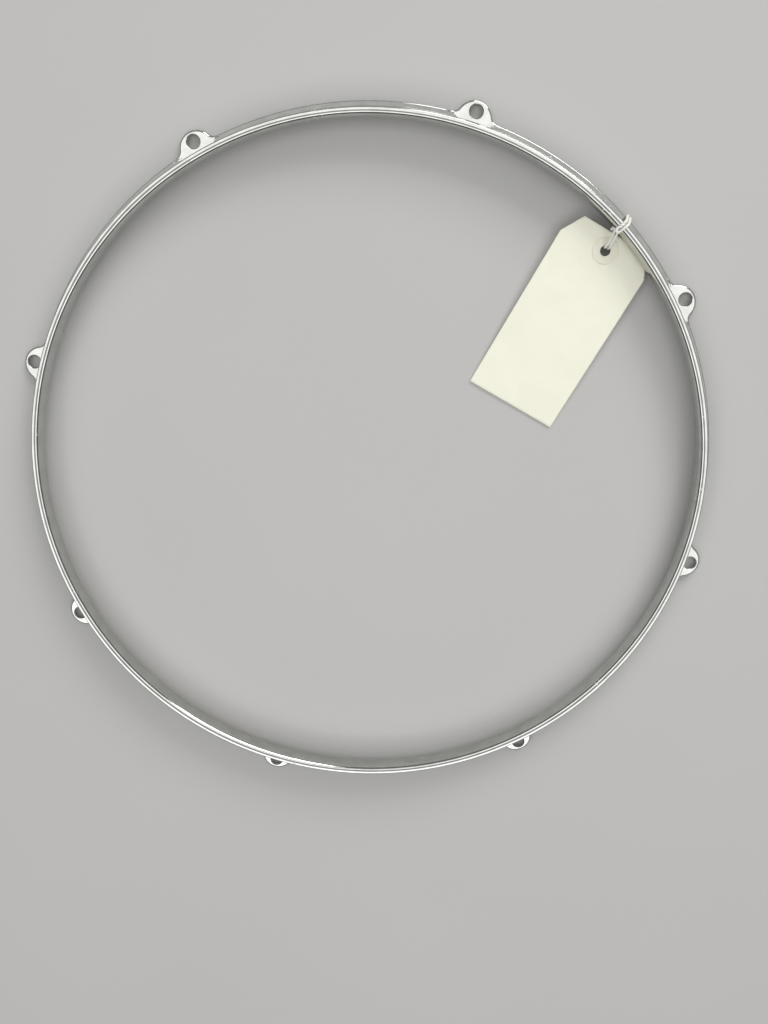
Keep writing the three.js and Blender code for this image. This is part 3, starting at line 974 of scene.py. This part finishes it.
def inside(outline, x, y, margin):
    """Whether a point lies inside a convex outline that runs anticlockwise, by at least a margin."""
    for a, b in zip(outline, outline[1:] + outline[:1]):
        edge = Vector((b[0] - a[0], b[1] - a[1]))
        if edge.x * (y - a[1]) - edge.y * (x - a[0]) < margin * edge.length:
            return False
    return True


def ways_out(border):
    """For each point on a flat sheet's border, the direction away from the sheet."""
    ways = {}
    for edge in border:
        middle = edge.link_faces[0].calc_center_median()
        start, end = edge.verts[0].co, edge.verts[1].co
        out = Vector((end.y - start.y, start.x - end.x, 0))
        if out.dot(start - middle) < 0:
            out.negate()
        for v in edge.verts:
            ways[v] = ways.get(v, Vector()) + out.normalized()
    return {v: way.normalized().to_2d() for v, way in ways.items()}


def thick_sheet(name, verts, faces, thickness, place):
    """A sheet with two faces and a softly rounded edge, each point put where place says."""
    work = bmesh.new()
    flat = [work.verts.new((v.x, v.y, 0)) for v in verts]
    for face in faces:
        work.faces.new([flat[i] for i in face])
    bmesh.ops.delete(work, geom=[v for v in work.verts if not v.link_faces], context="VERTS")
    work.normal_update()
    border = [e for e in work.edges if len(e.link_faces) == 1]
    out = ways_out(border)
    half = thickness / 2
    edge_half = EDGE_FLAT_SHARE * half
    drawn_back = EDGE_DRAWN_BACK_SHARE * thickness
    kept = list(work.verts)
    count = len(kept)
    index = {v: i for i, v in enumerate(kept)}
    points = []
    for lift in (half, -half):
        for v in kept:
            spot = v.co.to_2d()
            if v in out:
                spot -= drawn_back * out[v]
            points.append(place(spot, lift))
    made_faces = []
    for face in work.faces:
        ids = [index[v] for v in face.verts]
        if face.normal.z < 0:
            ids.reverse()
        made_faces.append(tuple(ids))
        made_faces.append(tuple(count + i for i in reversed(ids)))
    chains = {}
    for v in out:
        chains[v] = (index[v], len(points), len(points) + 1, count + index[v])
        points += [place(v.co.to_2d(), edge_half), place(v.co.to_2d(), -edge_half)]
    for edge in border:
        face = edge.link_faces[0]
        a, b = edge.verts
        loop = next(l for l in face.loops if l.edge == edge)
        if (loop.vert == a) == (face.normal.z < 0):
            a, b = b, a
        for i in range(3):
            made_faces.append((chains[a][i], chains[a][i + 1], chains[b][i + 1], chains[b][i]))
    work.free()
    made = mesh_object(name, points, made_faces)
    tidy_normals(made)
    return made


def build_tag(card_material, patch_material):
    """The card, and a patch on each of its faces."""
    matrix = tag_matrix()

    def on_card(point, lift):
        return matrix @ curled(point, lift)

    verts, faces = sheet_triangles(tag_outline(), TAG_HOLE_RADIUS, spacing=1.3)
    card = thick_sheet("manila_card", verts, faces, TAG_THICKNESS, on_card)
    card.data.set_sharp_from_angle(angle=PAPER_CREASE)
    dress(card, "tag", card_material, ["tag_card"])
    ring = arc((0, 0), PATCH_RADIUS, 0, FULL, steps=64)[:-1]
    verts, faces = sheet_triangles(ring, TAG_HOLE_RADIUS, spacing=0.9)
    for name, face in (("front", 1), ("back", -1)):
        raised = face * (TAG_THICKNESS / 2 + PATCH_THICKNESS / 2 + PATCH_LIFT)

        def on_face(point, lift):
            return on_card(point, raised + lift)

        patch = thick_sheet(f"patch_{name}", verts, faces, PATCH_THICKNESS, on_face)
        patch.data.set_sharp_from_angle(angle=PAPER_CREASE)
        dress(patch, "tag", patch_material, [f"tag_patch_{name}"])


# Camera, light and floor

def make_camera():
    """The photograph's camera, fitted to the lip, the ear holes and the tag. Its shift is in lip radii."""
    focal_pixels = 921
    frame_height = 1024
    tilt = Vector((math.radians(13.94), math.radians(-1.4), math.radians(-1.56)))
    turn = Matrix.Rotation(tilt.length, 4, tilt.normalized())
    shift = Vector((-0.052, 0.126, -2.726)) * LIP_OUTER_RADIUS * MM
    ears_turn = Matrix.Rotation(math.radians(0.7), 4, "Z")
    data = bpy.data.cameras.new("photo_camera")
    data.sensor_width = 36
    data.lens = focal_pixels / frame_height * data.sensor_width
    data.clip_start = 0.01
    camera = bpy.data.objects.new("photo_camera", data)
    bpy.context.scene.collection.objects.link(camera)
    view = turn.inverted() @ Matrix.Translation(-shift)
    camera.matrix_world = Matrix.Translation((0, 0, HOOP_HEIGHT * MM)) @ ears_turn @ view
    bpy.context.scene.camera = camera


def area_light(name, place, target, size, power):
    """A white rectangular lamp that faces a target. Here lengths are metres."""
    data = bpy.data.lights.new(name, "AREA")
    data.shape = "RECTANGLE"
    data.size, data.size_y = size
    data.energy = power
    light = bpy.data.objects.new(name, data)
    bpy.context.scene.collection.objects.link(light)
    light.location = place
    light.rotation_euler = (Vector(target) - Vector(place)).to_track_quat("-Z", "Y").to_euler()


# The floor's reach in metres, far past the camera's view
FLOOR_RADIUS = 12

# How bright the room is, by the height of the direction: 0 at the horizon, 1 overhead
ROOM_BANDS = [
    (0, 0.45),
    (0.2, 0.5),
    (0.35, 0.06),
    (0.55, 0.06),
    (0.62, 0.68),
    (0.86, 0.68),
    (0.92, 0.05),
    (1, 0.05),
]


def ramp_node(nodes, stops):
    """A grey ramp through (position, level) stops."""
    ramp = nodes.new("ShaderNodeValToRGB")
    elements = ramp.color_ramp.elements
    elements[0].position, elements[1].position = stops[0][0], stops[-1][0]
    for position, _ in stops[1:-1]:
        elements.new(position)
    for element, (_, level) in zip(elements, stops):
        element.color = (level, level, level, 1)
    return ramp


def make_world():
    """A dim room in level bands, so that the plating has lights and darks to mirror."""
    world = bpy.data.worlds.new("studio")
    bpy.context.scene.world = world
    world.use_nodes = True
    nodes, links = world.node_tree.nodes, world.node_tree.links
    place = nodes.new("ShaderNodeTexCoord")
    split = nodes.new("ShaderNodeSeparateXYZ")
    links.new(place.outputs["Generated"], split.inputs["Vector"])
    bands = ramp_node(nodes, ROOM_BANDS)
    links.new(split.outputs["Z"], bands.inputs["Fac"])
    links.new(bands.outputs["Color"], nodes["Background"].inputs["Color"])


def light_ceiling(centre, inner, outer, height, level, middle_level):
    """Four soft boxes overhead, all equally bright, round a dimmer square one."""
    middle = (inner + outer) / 2
    width = outer - inner
    panels = {
        "far_box": ((0, middle), (2 * outer, width), level),
        "near_box": ((0, -middle), (2 * outer, width), level),
        "left_box": ((-middle, 0), (width, 2 * inner), level),
        "right_box": ((middle, 0), (width, 2 * inner), level),
        "middle_box": ((0, 0), (2 * inner, 2 * inner), middle_level),
    }
    for name, ((x, y), size, brightness) in panels.items():
        place = (centre[0] + x, centre[1] + y, height)
        power = brightness * math.pi * size[0] * size[1]
        area_light(name, place, (place[0], place[1], 0), size, power)


def make_studio():
    """Soft boxes overhead, a key box behind the hoop, a dim room and a pale floor."""
    make_world()
    light_ceiling(centre=(-0.055, -0.245), inner=0.42, outer=0.8, height=1.25, level=1.58, middle_level=0.45)
    area_light("key_box", place=(0.8, 1.92, 1.2), target=(0, 0, 0), size=(1.44, 0.96), power=30)
    edge = arc((0, 0), FLOOR_RADIUS, 0, FULL, steps=96)[:-1]
    floor = mesh_object("floor", [(x, y, 0) for x, y in edge], [tuple(range(len(edge)))], scale=1)
    made = Material("pale_floor")
    made.link(made.blend(made.noise(scale=6), linear(FLOOR_DARK), linear(FLOOR_LIGHT)), "Base Color")
    made.set(Roughness=0.9, Specular_IOR_Level=0.1)
    floor.data.materials.append(made.data)


bpy.context.scene.view_settings.view_transform = "Standard"
make_camera()
build_string(cotton_material())
dress(build_hoop(), "hoop", chrome_material(), ["hoop"])
build_tag(
    paper_material("manila_paper", MANILA_LIGHT, MANILA_DARK),
    paper_material("patch_paper", PATCH_LIGHT, PATCH_DARK),
)
make_studio()
